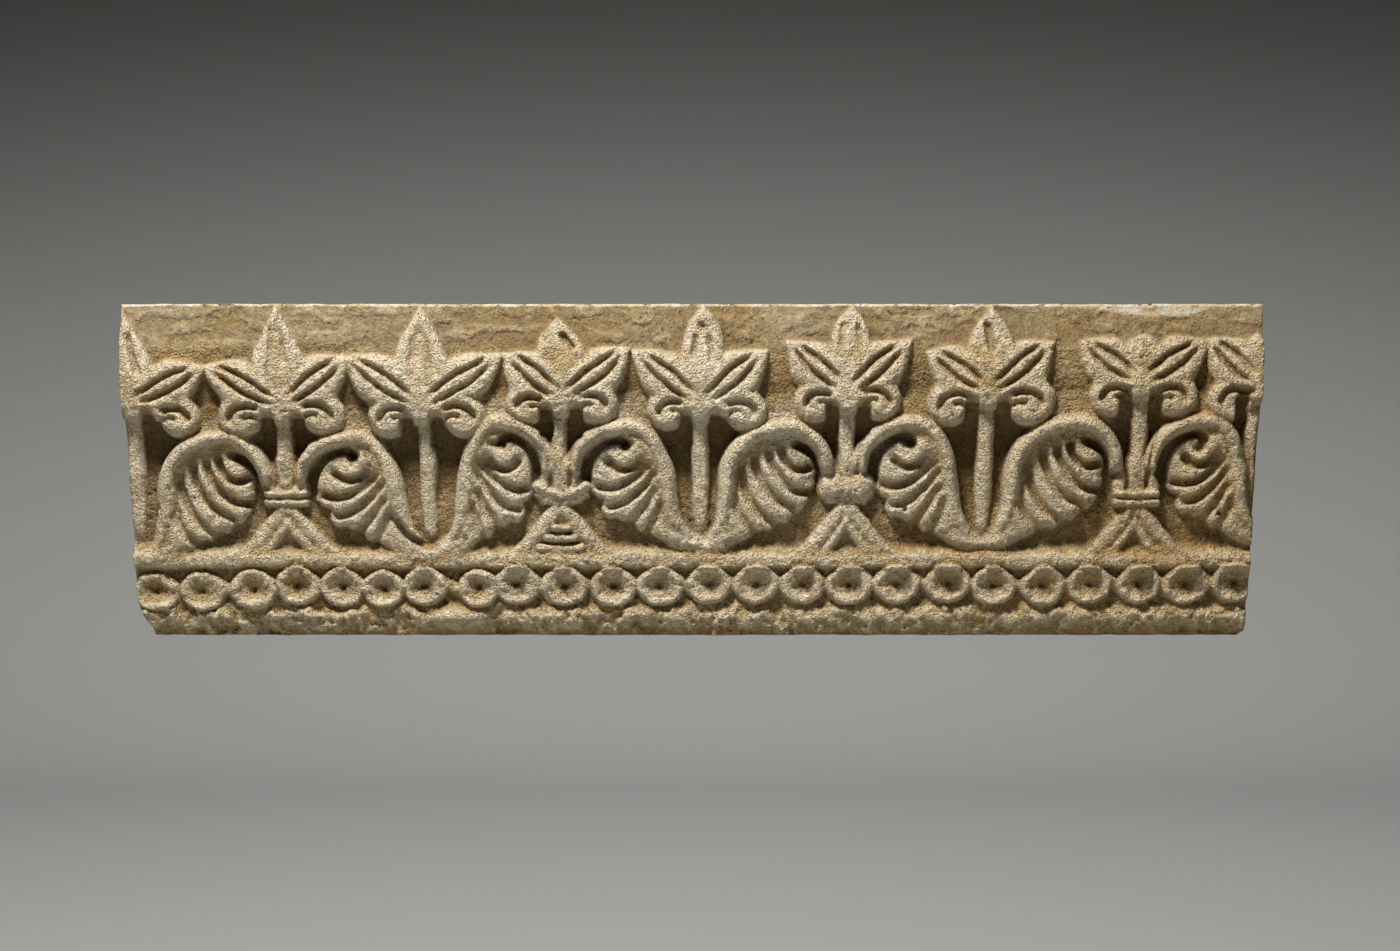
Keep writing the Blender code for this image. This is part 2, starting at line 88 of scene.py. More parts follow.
# The carving is drawn in thousandths of the block's length and in 296ths of its height, which are
# millimetres on the real block.
ACROSS = LENGTH / 1000
UP = HEIGHT / 296

# The heights at which the face steps from one level to the next, from the head down.
BAND_FOOT = 118
GAP_LEVEL = 62
GROUND_HEAD = 24
GROUND_FOOT = -48
TROUGH_FOOT = -60
ROLL_HEAD = -78
ROLL_FOOT = -83
EYE_GROUND_HEAD = -89
FILLET_HEAD = -123
FILLET_FOOT = -148
FILLET_RISE = (13, -7)

STEM_HALF = 7.5
STEM_FOOT = -68
EYE_HALF_HEIGHT = 17
EYE_HEIGHT = 10.5
# the share of an eye's half length at which its ring is highest
EYE_CREST = 0.8
# The plate of a wing starts at this point of its arch's line, clear of the stem.
PLATE_START = 14
# No pit reaches further than this below the ground, in mm.
PIT_FLOOR = -7

# How far the crests of these forms lie behind the fronts of the leaves, in mm.
LEAF_BACK = 1
ARCH_BACK = 1
CALYX_BACK = 9
MOUND_BACK = 10
STEM_BACK = 11

# The roughness of the ends, beds and back, in metres: the dips of 16 mm and of 6 mm spacing, the
# rounding of the back's arris and the inset that keeps it all within the block's own box.
COARSE_DIP = 0.0016
FINE_DIP = 0.0009
BACK_ARRIS = 0.0012
INSET = 0.0004
# The rows of squares from the face to the back.
WALL_LAYERS = 14

# Hollows are partly filled, in mm: what lies deeper than this below the level around it, which is the
# average over this reach each way, comes up by this share.
FILL_REACH = 7.5
FILL_DEPTH = 3.5
FILL_SHARE = 0.35

# The eyes of the lowest row: the place of each pit, and half the length of its ring.
EYES = ((-482, -107, 21), (-440, -106, 21), (-394, -105, 21), (-354, -102, 20), (-314, -103, 20),
        (-277, -104, 19), (-240, -102, 20), (-192, -104, 18), (-157, -101, 21), (-115, -102, 21),
        (-71, -102, 21), (-28, -102, 21), (15, -101, 20), (57, -101, 21), (99, -101, 20),
        (141, -101, 21), (183, -101, 21), (229, -100, 21), (270, -102, 20), (314, -102, 20),
        (356, -101, 20), (401, -100, 20), (443, -100, 21), (487, -99, 21))

STEMS = (-492, -360, -234, -117, 7, 137, 259, 395, 492.5)

# A leaf's heart is a place on the face, and its other places are counted from the heart.
# Where an end of the block cuts through a leaf, the lobes that are cut away are left out.
Leaf = namedtuple("Leaf", "heart crown crown_half tips curls blunt framed", defaults=(2.4, False))
LEAVES = (
    Leaf((-492, 58), (-3, 78), 23, ((67, 34),), ((42, -10, 17),), 1.3),
    Leaf((-360, 54), (-4, 91), 24, ((-67, 39), (60, 46)), ((-38, -6, 18), (36, -4, 18)), 1.25, True),
    Leaf((-238, 54), (1, 91), 26, ((-67, 47), (72, 49)), ((-29, -6, 17), (38, -5, 18)), 1.25, True),
    Leaf((-115, 62), (-2, 73), 24, ((-50, 41), (61, 45)), ((-31, -4, 16), (32, -3, 17)), 2.2),
    Leaf((8, 57), (2, 89), 19, ((-59, 48), (57, 49)), ((-30, -3, 16), (40, -3, 17)), 3),
    Leaf((137, 65), (2, 80), 18, ((-54, 49), (53, 50)), ((-29, -4, 17), (29, -2, 17)), 3),
    Leaf((260, 68), (2, 77), 24, ((-54, 37), (56, 45)), ((-34, -9, 18), (38, -7, 20)), 1.5),
    Leaf((393, 75), (3, 46), 23, ((-53, 39), (58, 40)), ((-27, -9, 17), (32, -9, 18)), 2.6),
    Leaf((495, 74), (-2, 48), 20, ((-44, 42),), ((-24, -10, 19),)),
)

# A wing springs outwards from its stem. Reach, apex and foot are the size of its arch.
Wing = namedtuple("Wing", "stem side form reach apex foot")

# The two forms of wing, drawn with x counted outwards from the stem: the line of the arched rim,
# the scalloped inner edge, the slot under the arch and the flutes.
Form = namedtuple("Form", "reach apex foot arch edge slot flutes")
FAN = Form(
    reach=107, apex=39, foot=-65,
    arch=((17, -10), (19, 10), (28, 27), (44, 38), (64, 38), (84, 31), (98, 17), (105, 0), (107, -25),
          (112, -46), (119, -58), (130, -66)),
    edge=((27, 16), (27, 5), (30, -6), (29, -10), (33, -20), (34, -24), (41, -34), (46, -35), (54, -44),
          (59, -43), (69, -51), (74, -50), (86, -57), (100, -63), (112, -69), (126, -70)),
    slot=((46, 24), (37, 20), (27, 12), (23, -2), (24, -24)),
    flutes=(((59, 24), (56, 12), (48, 3), (39, 2), (30, 6)),
            ((69, 22), (67, 8), (58, -7), (45, -17), (28, -19)),
            ((81, 19), (80, 5), (75, -9), (64, -23), (43, -34)),
            ((94, 10), (93, -3), (88, -20), (79, -35), (62, -48)),
            ((101, -6), (100, -21), (96, -36), (88, -48), (77, -58))),
)
CURL = Form(
    reach=92, apex=43, foot=-61,
    arch=((11, -10), (12, 10), (19, 25), (31, 35), (46, 41), (63, 42), (76, 34), (85, 18), (90, 0),
          (93, -20), (98, -40), (109, -56), (123, -62)),
    edge=((24, 12), (24, 0), (24, -10), (31, -19), (37, -22), (36, -30), (41, -38), (49, -38), (58, -44),
          (64, -44), (70, -52), (80, -54), (94, -64), (110, -68), (122, -66)),
    slot=((23, -10), (24, 6), (31, 21), (44, 30), (55, 29), (58, 21)),
    flutes=(((39, 13), (46, 6), (56, 4), (66, 8), (72, 15)),
            ((28, -8), (40, -12), (54, -9), (68, 0), (79, 12)),
            ((36, -29), (50, -27), (62, -20), (74, -8), (83, 5)),
            ((54, -48), (65, -38), (74, -26), (83, -10)),
            ((70, -58), (78, -47), (84, -35), (88, -22))),
)
WINGS = (
    Wing(1, -1, FAN, 107, 31, -75),
    Wing(1, 1, CURL, 97, 31, -69),
    Wing(3, -1, CURL, 83, 44, -67),
    Wing(3, 1, CURL, 95, 41, -62),
    Wing(5, -1, FAN, 107, 40, -65),
    Wing(5, 1, CURL, 92, 44, -61),
    Wing(7, -1, FAN, 112, 43, -62),
    Wing(7, 1, CURL, 90, 46, -58),
)

# The four stems that spring from the roll have a collar and a forked or a barred foot.
COLLARS = ((1, "rings"), (3, "crescent"), (5, "block"), (7, "rings"))
FEET = ((1, "fork"), (3, "bars"), (5, "fork"), (7, "fork"))

# Tool marks on the crowns of the leaves: the line, its width and its depth.
MARKS = (
    (((-492, 124), (-489, 106), (-483, 84)), 9, 6),
    (((-369, 128), (-368, 103)), 6, 4),
    (((-359, 128), (-356, 96)), 6, 4),
    (((-244, 120), (-247, 92)), 7, 3),
    (((-232, 120), (-229, 92)), 7, 3),
    (((-114, 123), (-110, 116), (-103, 107)), 8, 7),
    (((3, 122), (-1, 96)), 8.5, 5),
    (((13, 122), (18, 97)), 8.5, 5),
    (((133, 134), (130, 108)), 8.5, 5),
    (((145, 132), (147, 108)), 8, 5),
    (((258, 132), (262, 104)), 10, 6.5),
    (((-268, -35), (-262, -45), (-253, -57), (-240, -65), (-226, -68)), 10, 10),
)
# Holes: the place, the half length, the half height and the depth.
HOLES = (
    ((-299, 15), 8, 6, 9),
    ((-57, 25), 10, 6, 9),
    ((-174, 25), 9, 6, 8),
    ((191, 26), 9, 6, 8),
    ((8, 127), 6.5, 7, 6),
    ((448, 21), 8, 7.5, 9),
    ((190, -32), 3.5, 3.5, 8),
    ((469, -36), 3.5, 3.5, 8),
    ((-477, -17), 4, 4, 5),
)


def step_between(low, high, v):
    """0 before low, 1 after high, and a smooth step between them."""
    t = np.clip((v - low) / (high - low), 0, 1)
    return t * t * (3 - 2 * t)


def blended_max(a, b, blend):
    """The larger of two values, rounded over where they are closer than blend."""
    near = np.maximum(blend - np.abs(a - b), 0) / blend
    return np.maximum(a, b) + near * near * blend / 4


def lumps(x, z, spacing, seed, stretch=1):
    """Smooth seeded unevenness between -1 and 1, about one lump to each spacing."""
    cells = 128
    values = np.random.default_rng(seed).uniform(-1, 1, (cells, cells))
    turn = 0.4 + seed if stretch == 1 else 0
    u = (x * math.cos(turn) + z * math.sin(turn)) / (spacing * stretch) + 500
    v = (z * math.cos(turn) - x * math.sin(turn)) / spacing + 500
    i = np.floor(u).astype(int)
    j = np.floor(v).astype(int)
    s = step_between(0, 1, u - i)
    t = step_between(0, 1, v - j)
    near = values[i % cells, j % cells] * (1 - s) + values[(i + 1) % cells, j % cells] * s
    far = values[i % cells, (j + 1) % cells] * (1 - s) + values[(i + 1) % cells, (j + 1) % cells] * s
    return near * (1 - t) + far * t


def pits(x, z, spacing, radius, share, seed):
    """Round pits, one to a square in this share of the squares: 1 at a pit's middle, 0 outside it."""
    cells = 256
    chance = np.random.default_rng(seed)
    offsets = chance.uniform(0.1, 0.9, (2, cells, cells))
    radii = radius * chance.uniform(0.5, 1, (cells, cells)) * (chance.random((cells, cells)) < share)
    i = np.floor(x / spacing).astype(int)
    j = np.floor(z / spacing).astype(int)
    deepest = np.zeros(x.shape)
    for di in (-1, 0, 1):
        for dj in (-1, 0, 1):
            place = ((i + di) % cells, (j + dj) % cells)
            dx = x - (i + di + offsets[0][place]) * spacing
            dz = z - (j + dj + offsets[1][place]) * spacing
            inside = 1 - np.hypot(dx, dz) / np.maximum(radii[place], 1e-6)
            deepest = np.maximum(deepest, step_between(0, 0.8, inside))
    return deepest


def smooth_line(points, per_span=6):
    """A Catmull-Rom line through a few points."""
    p = np.array(points, float)
    if len(p) < 3:
        return p
    p = np.vstack([2 * p[0] - p[1], p, 2 * p[-1] - p[-2]])
    t = (np.arange(per_span) / per_span)[:, None]
    spans = []
    for a, b, c, d in zip(p, p[1:], p[2:], p[3:]):
        bend = (2 * a - 5 * b + 4 * c - d) * t ** 2 + (3 * b - a - 3 * c + d) * t ** 3
        spans.append(b + ((c - a) * t + bend) / 2)
    return np.vstack(spans + [p[-2:-1]])


def from_line(x, z, line):
    """Each place's distance from a line, and the share of the line before its nearest point."""
    spans = line[1:] - line[:-1]
    lengths = np.hypot(spans[:, 0], spans[:, 1])
    starts = np.cumsum(lengths) - lengths
    nearest = np.full(x.shape, 1e6)
    along = np.zeros(x.shape)
    for (ax, az), (sx, sz), length, start in zip(line, spans, lengths, starts):
        t = np.clip(((x - ax) * sx + (z - az) * sz) / max(length * length, 1e-9), 0, 1)
        distance = np.hypot(x - ax - t * sx, z - az - t * sz)
        closer = distance < nearest
        nearest = np.where(closer, distance, nearest)
        along = np.where(closer, start + t * length, along)
    return nearest, along / lengths.sum()


def inside_outline(x, z, outline):
    """Distance from a closed outline, above 0 inside it and below 0 outside."""
    nearest, _ = from_line(x, z, np.vstack([outline, outline[:1]]))
    inside = np.zeros(x.shape, bool)
    for (ax, az), (bx, bz) in zip(outline, np.roll(outline, -1, axis=0)):
        if az != bz:
            inside ^= ((az > z) != (bz > z)) & (x < (bx - ax) * (z - az) / (bz - az) + ax)
    return np.where(inside, nearest, -nearest)


def inside_lobe(x, z, base, tip, half, belly, root=0.6, blunt=1.7):
    """Distance inside a pointed lobe from base to tip, widest at the share belly of its length."""
    axis = np.subtract(tip, base)
    length = math.hypot(*axis)
    ux, uz = axis / length
    along = ((x - base[0]) * ux + (z - base[1]) * uz) / length
    across = np.abs((z - base[1]) * ux - (x - base[0]) * uz)
    swell = root + (1 - root) * np.sin(np.clip(along / belly, 0, 1) * math.pi / 2)
    taper = 1 - np.clip((along - belly) / (1 - belly), 0, 1) ** blunt
    width = half * np.where(along < belly, swell, taper)
    past = np.maximum(along - 1, -along) * length
    return np.where(past > 0, -np.hypot(np.maximum(across - width, 0), past), 0.9 * (width - across))


def shoulder(inside, soft):
    """The rounded edge of a carved form: 0 outside its outline, 1 from soft inside it."""
    foot = 1.5
    t = np.clip((inside + foot) / (soft + foot), 0, 1)
    return np.sqrt(1 - (1 - t) ** 2) * step_between(0, 0.2, t)


class Carving:
    """The carved face at the places x, z of its drawing: the ground, and the height carved on it."""

    def __init__(self, x, z):
        self.x = x
        self.z = z
        back = BAND_BACK + (GAP_BACK - BAND_BACK) * step_between(BAND_FOOT, GAP_LEVEL, z)
        back += (GROUND_BACK - GAP_BACK) * step_between(GAP_LEVEL, GROUND_HEAD, z)
        back += (TROUGH_BACK - GROUND_BACK) * step_between(GROUND_HEAD, GROUND_FOOT, z)
        back += (ROLL_BACK - TROUGH_BACK) * step_between(TROUGH_FOOT, ROLL_HEAD, z)
        back += (EYE_GROUND_BACK - ROLL_BACK) * step_between(ROLL_FOOT, EYE_GROUND_HEAD, z)
        # the fillet's upper edge wavers
        edge = FILLET_HEAD + 1.8 * np.sin(x * 0.061) + 1.2 * np.sin(x * 0.143 + 1)
        rise = step_between(edge + FILLET_RISE[0], edge + FILLET_RISE[1], z)
        back += (FILLET_BACK - EYE_GROUND_BACK) * rise
        back += FILLET_LEAN * step_between(FILLET_HEAD - 6, FILLET_FOOT - 4, z)
        self.ground = back * 1000
        self.height = np.zeros(x.shape)

    def near(self, points, margin):
        """The numbers of the places inside the box round these points, widened by the margin."""
        low = np.min(points, axis=0) - margin
        high = np.max(points, axis=0) + margin
        across = (self.x > low[0]) & (self.x < high[0])
        return np.nonzero(across & (self.z > low[1]) & (self.z < high[1]))[0]

    def stand(self, at, height, blend=3):
        """Raises the carving at these places to this height over the ground."""
        raised = height > 0
        at = at[raised]
        self.height[at] = blended_max(self.height[at], height[raised], blend)

    def bead(self, points, width, back, blend=3):
        """A rounded strand along a line, whose crest lies this far behind the fronts of the leaves."""
        line = smooth_line(points)
        at = self.near(line, width)
        distance, _ = from_line(self.x[at], self.z[at], line)
        round_top = np.sqrt(np.clip(1 - (2 * distance / width) ** 2, 0, 1))
        self.stand(at, (self.ground[at] - back) * round_top, blend)

    def flute(self, points, width, depth, fade=0.2):
        """A rounded groove along a line, dying out at both ends, no deeper than the ground."""
        line = smooth_line(points)
        at = self.near(line, width)
        distance, along = from_line(self.x[at], self.z[at], line)
        ends = step_between(-0.05, fade, along) * step_between(-0.05, fade, 1 - along)
        hollow = step_between(width / 2, width / 9, distance)
        lowered = self.height[at] - depth * ends * hollow
        self.height[at] = np.maximum(lowered, np.minimum(self.height[at], 0))

    def pit(self, centre, half_length, half_height, depth):
        """A round or oval hole with a soft edge."""
        at = self.near([centre], max(half_length, half_height))
        dx = (self.x[at] - centre[0]) / half_length
        dz = (self.z[at] - centre[1]) / half_height
        reach = np.clip(np.hypot(dx, dz), 0, 1)
        lowered = self.height[at] - depth * (0.5 + 0.5 * np.cos(reach * math.pi))
        self.height[at] = np.maximum(lowered, np.minimum(self.height[at], PIT_FLOOR))


def carve_stem(face, x, head):
    """A straight stem that narrows downwards and sinks into the ground at its foot."""
    at = face.near([(x, head), (x, STEM_FOOT)], 10)
    narrowed = STEM_HALF - 2.5 * step_between(0, STEM_FOOT, face.z[at])
    inside = narrowed - np.abs(face.x[at] - x)
    foot = step_between(STEM_FOOT, STEM_FOOT + 18, face.z[at])
    below = face.z[at] < head
    face.stand(at, (face.ground[at] - STEM_BACK) * shoulder(inside, 5.5) * foot * below)


def on_wing(wing, points):
    """Places of a wing's form, put on its stem at its reach and height."""
    p = np.array(points, float)
    form = wing.form
    x = STEMS[wing.stem] + wing.side * p[:, 0] * wing.reach / form.reach
    z = wing.foot + (p[:, 1] - form.foot) * (wing.apex - wing.foot) / (form.apex - form.foot)
    return np.stack([x, z], axis=1)


def carve_wing(face, wing):
    """A wing: a scalloped plate with flutes, under the strand of an arch."""
    arch = smooth_line(on_wing(wing, wing.form.arch))
    edge = smooth_line(on_wing(wing, wing.form.edge), 4)
    apex = arch[arch[:, 1].argmax()]
    # a soft mound of the ground above the arch
    at = face.near([apex], 44)
    mound = np.hypot((face.x[at] - apex[0]) / 42, (face.z[at] - apex[1] - 2) / 27)
    face.stand(at, (face.ground[at] - MOUND_BACK) * np.clip(1 - mound ** 2, 0, 1), 8)
    # the plate of the wing, its flutes, and the strand of the arch over them
    at = face.near(np.vstack([arch, edge]), 12)
    x = face.x[at]
    z = face.z[at]
    inside = inside_outline(x, z, np.vstack([arch[PLATE_START:], edge[::-1]]))
    distance, along = from_line(x, z, arch)
    far = 0.85 if wing.form is FAN else 0.5
    dished = 3 + 8 * step_between(far, far - 0.2, along) * step_between(40, 6, distance)
    face.stand(at, (face.ground[at] - dished) * shoulder(inside + 1, 9))
    for number, flute in enumerate(wing.form.flutes):
        face.flute(on_wing(wing, flute), 11.5, 11 - 1.4 * number, 0.12)
    face.flute(on_wing(wing, wing.form.slot), 11, 20 if wing.form is FAN else 13, 0.08)
    half = np.interp(along, (0, 0.12, 0.4, 0.7, 1), (6, 7, 8.5, 8.5, 5))
    sink = (1 - 0.45 * step_between(0.85, 1, along)) * step_between(-0.01, 0.07, along)
    face.stand(at, (face.ground[at] - ARCH_BACK) * sink * shoulder(half - distance, 8))


def carve_calyx(face, x):
    """The mass in which a stem and its two arches join above the collar."""
    at = face.near([(x, -28), (x, 34)], 26)
    inside = inside_lobe(face.x[at], face.z[at], (x, -28), (x, 30), 21, 0.3, 0.9, 1.2)
    face.stand(at, (face.ground[at] - CALYX_BACK) * shoulder(inside, 9), 4)
    for side in (-1, 1):
        face.flute([(x + side * 13, 26), (x + side * 10, 8), (x + side * 8, -14)], 6, 7, 0.1)


def carve_collar(face, x, kind):
    """The collar of a stem: a double crescent, one thick block or two rings."""
    if kind == "crescent":
        for drop, width, back in ((0, 12, 5), (7, 9, 9)):
            line = ((-19, -12), (-10, -17), (0, -20), (12, -18), (22, -12))
            face.bead([(x + dx, z - drop) for dx, z in line], width, back)
        return
    if kind == "block":
        face.bead([(x - 12, -13), (x, -15), (x + 12, -13)], 30, 4)
        return
    for level in (-19, -27):
        face.bead([(x - 17, level + 1), (x, level), (x + 17, level + 1)], 9, 5, 2)


def carve_foot(face, x, kind):
    """The two legs that carry a stem on the roll, with a fork or bars between them."""
    for side in (-1, 1):
        face.bead([(x + side * 4, -34), (x + side * 18, -52), (x + side * 38, -76)], 17, 7, 4)
        if kind == "fork":
            face.bead([(x, -44), (x + side * 9, -57), (x + side * 22, -74)], 11, 6, 2)
    if kind == "bars":
        for level, half in ((-49, 6), (-58, 13), (-67, 19)):
            face.bead([(x - half, level), (x, level - 1), (x + half, level)], 8.5, 5, 2)


def carve_leaf(face, leaf):
    """A palmette leaf: a pointed crown, two fluted lobes and two curls that turn down to the stem."""
    heart = np.array(leaf.heart)
    at = face.near([heart], 100)
    x = face.x[at]
    z = face.z[at]
    inside = np.maximum(21 - np.hypot(x - heart[0], z - heart[1] - 16),
                        14 - np.hypot(x - heart[0], z - heart[1]))
    crown = inside_lobe(x, z, heart, heart + leaf.crown, leaf.crown_half, 0.42, 1.15, leaf.blunt)
    face.stand(at, (face.ground[at] - LEAF_BACK) * shoulder(crown, 6), 2)
    for tip in leaf.tips:
        lobe = inside_lobe(x, z, heart + (0, 3), heart + tip, 20, 0.6, 0.5, blunt=1.3)
        inside = blended_max(inside, lobe, 6)
    for dx, dz, radius in leaf.curls:
        middle = heart + (dx, dz)
        disc = radius + 1 - np.hypot(x - middle[0], z - middle[1])
        neck, _ = from_line(x, z, np.array([heart + (0, -1), middle + (0, 0.45 * radius)]))
        inside = blended_max(inside, np.maximum(disc, 10 - neck), 6)
    inside += 1.5 * step_between(-10, 25, z - heart[1])
    face.stand(at, (face.ground[at] - LEAF_BACK) * shoulder(inside, 8.5), 3)
    for tip in leaf.tips:
        flute_lobe(face, heart + (0, 3), np.array(tip), ((0.1, 3.5), (0.5, 6.2), (0.88, 2.6)), 8, 8)
    if leaf.framed:
        panel = inside_lobe(x, z, heart + (0, 18), heart + 0.94 * np.array(leaf.crown), 12, 0.3, 0.9, 1.2)
        face.height[at] -= 3.5 * step_between(-1, 4, panel)
    for dx, dz, radius in leaf.curls:
        flute_curl(face, heart + (dx, dz), math.copysign(radius, dx))
        # the notch that parts the curl from the stem
        notch = heart + (math.copysign(13.5, dx), -6)
        face.flute([notch, notch + (0, -12), notch + (0, -26)], 15, 30, 0.1)


def flute_lobe(face, base, axis, line, width, depth):
    """A flute on each side of a lobe's rib, given by shares of its length and distances off the rib."""
    off = np.array((-axis[1], axis[0])) / math.hypot(*axis)
    for side in (-1, 1):
        points = [base + share * axis + side * across * off for share, across in line]
        face.flute(points, width, depth, 0.25)


def flute_curl(face, middle, outwards):
    """The two turned flutes of a curl."""
    radius = abs(outwards)
    outer = ((-1.1, 0.36), (-0.4, 0.5), (0.14, 0.38), (0.4, 0.02), (0.28, -0.28))
    inner = ((-0.95, -0.1), (-0.5, 0.06), (-0.18, -0.06))
    for line, width, depth in ((outer, 9.5, 8), (inner, 8, 5)):
        face.flute([middle + (u * outwards, v * radius) for u, v in line], width, depth)


def carve_eyes(face):
    """A row of rings, each with a hollow that narrows to a small hole, tied by slanting strands."""
    for x, z, half in EYES:
        at = face.near([(x, z)], half + 4)
        reach = np.hypot((face.x[at] - x) / half, (face.z[at] - z) / EYE_HALF_HEIGHT)
        outer = np.sqrt(np.clip(1 - ((reach - EYE_CREST) / (1.06 - EYE_CREST)) ** 2, 0, 1))
        inner = 0.15 + 0.85 * reach / EYE_CREST
        # the eyes at the left end are worn down
        high = EYE_HEIGHT * (0.65 + 0.35 * step_between(-500, -400, x))
        face.stand(at, high * np.where(reach < EYE_CREST, inner, outer), 2)
        face.pit((x, z), 5, 4, 5)
    for (ax, az, a_half), (bx, bz, b_half) in zip(EYES, EYES[1:]):
        tie = (ax + a_half + bx - b_half) / 2
        level = (az + bz) / 2
        face.bead([(tie - 10, level + 8), (tie, level + 1), (tie + 10, level - 8)], 11, 5.5, 3)


def carve(face):
    """Everything that is carved on the face, from the stems outwards."""
    for leaf, stem in zip(LEAVES, STEMS):
        carve_stem(face, stem, leaf.heart[1])
    for wing in WINGS:
        carve_wing(face, wing)
    for stem, kind in FEET:
        carve_foot(face, STEMS[stem], kind)
    for stem, kind in COLLARS:
        carve_calyx(face, STEMS[stem])
        carve_collar(face, STEMS[stem], kind)
    for leaf in LEAVES:
        carve_leaf(face, leaf)
    carve_eyes(face)
    for line, width, depth in MARKS:
        face.flute(line, width, depth)
    for hole in HOLES:
        face.pit(*hole)


def weather(face, settings):
    """The face's unevenness in mm: worn lumps, the band's shallow flakes, sand pits and a broken leaf."""
    x = face.x
    z = face.z
    band = step_between(98, 116, z) * step_between(4, 1, face.height)
    # worn lumps all over, coarsest on the eyes and calmest on the band
    coarse = 1 + 0.6 * step_between(-70, -95, z) - 0.5 * band
    uneven = 0.9 * lumps(x, z, 23, 1) + 0.45 * lumps(x, z, 9, 2) * coarse
    uneven += 0.5 * lumps(x, z, 5.2, 3) * coarse + 0.8 * lumps(x, z, 2.9, 4) * coarse
    # the rough fillet, worst towards the left
    fillet = step_between(-114, -126, z)
    rubble = 3.0 * lumps(x, z, 16, 15) + 2.4 * lumps(x, z, 7, 16) + 1.3 * lumps(x, z, 3.6, 17)
    uneven += fillet * rubble * step_between(300, -300, x) * 0.5 + fillet * rubble * 0.75
    # flakes and hair cracks of the band
    flakes = step_between(0.02, 0.12, lumps(x, z, 7, 5, 3.2) + 0.35 * lumps(x, z, 2.6, 6, 2))
    veins = np.abs(lumps(x, z, 6, 7, 2.6) + 0.35 * lumps(x, z, 2.6, 8))
    cracks = step_between(0.10, 0.0, veins) * step_between(-0.3, 0.4, lumps(x, z, 30, 9))
    uneven += band * (1.2 * flakes - 1.6 * cracks)
    # pits that sand grains left
    sandy = step_between(-0.6, 0.5, lumps(x, z, 30, 10)) * (1 - 0.75 * band)
    uneven -= (1.7 * pits(x, z, 6.2, 2.1, 0.45, 11) + 1.4 * pits(x, z, 3.3, 1.5, 0.5, 12)) * sandy
    # a smooth smear of stucco on the fillet, and a broken leaf
    smear = np.clip(1.2 - np.hypot((x + 212) / 27, (z + 132) / 14), 0, 1)
    uneven += np.minimum(smear * 2, 1) * (1.5 + 4 * smear - uneven)
    broken = np.clip(1.3 - np.hypot((x - 397) / 22, (z - 112) / 18), 0, 1)
    uneven += np.minimum(broken * 2, 1) * (1.6 * lumps(x, z, 7, 13) + 1.1 * lumps(x, z, 3.4, 14) - 1)
    return settings.wear * uneven


def filled(relief, square):
    """The relief with its hollows partly filled, as wet stucco leaves them; square is in mm."""
    soft = softened(relief, round(FILL_REACH / square)) - FILL_DEPTH
    return relief + FILL_SHARE * np.maximum(soft - relief, 0)


def softened(grid, reach):
    """The grid averaged over squares of this many cells each way, three times over."""
    for _ in range(3):
        for axis in (0, 1):
            ends = [(reach + 1, reach) if axis == side else (0, 0) for side in (0, 1)]
            total = np.cumsum(np.pad(grid, ends, "edge"), axis=axis)
            wide = 2 * reach + 1
            later = np.take(total, range(wide, total.shape[axis]), axis=axis)
            grid = (later - np.take(total, range(total.shape[axis] - wide), axis=axis)) / wide
    return grid


def carved_front(x, z, shape, settings):
    """The grid's distances in front of the flat back in metres, and its heights over the ground in mm."""
    u = x / ACROSS
    v = z / UP
    shift_x = 1.1 * lumps(u, v, 34, 21) + 0.6 * lumps(u, v, 12, 22)
    shift_z = 1.1 * lumps(u, v, 34, 23) + 0.6 * lumps(u, v, 12, 24)
    face = Carving(u + settings.hand * shift_x, v + settings.hand * shift_z)
    carve(face)
    below_head = HEIGHT / 2 - HEAD_HEIGHT - z
    slope = (DEPTH - FOOT_DEPTH) / (HEIGHT - HEAD_HEIGHT)
    lean = slope * (below_head + np.hypot(below_head, KNEE_LENGTH)) / 2
    relief = filled((face.height - face.ground).reshape(shape), settings.square * 1000)
    relief = relief.ravel() + weather(face, settings)
    front = relief / 1000 - lean
    return DEPTH + front - front.max(), relief, face.height


def worn_ends(x, z):
    """Moves the face's ends in at the chipped left foot and the worn right foot."""
    chip = CHIP_WIDTH * step_between(CHIP_HEIGHT - HEIGHT / 2, -HEIGHT / 2, z)
    wear = CORNER_WEAR * step_between(CORNER_WEAR - HEIGHT / 2, -HEIGHT / 2, z)
    x = x + chip * (1 - step_between(-LENGTH / 2, WEAR_REACH - LENGTH / 2, x))
    return x - wear * step_between(LENGTH / 2 - WEAR_REACH, LENGTH / 2, x)


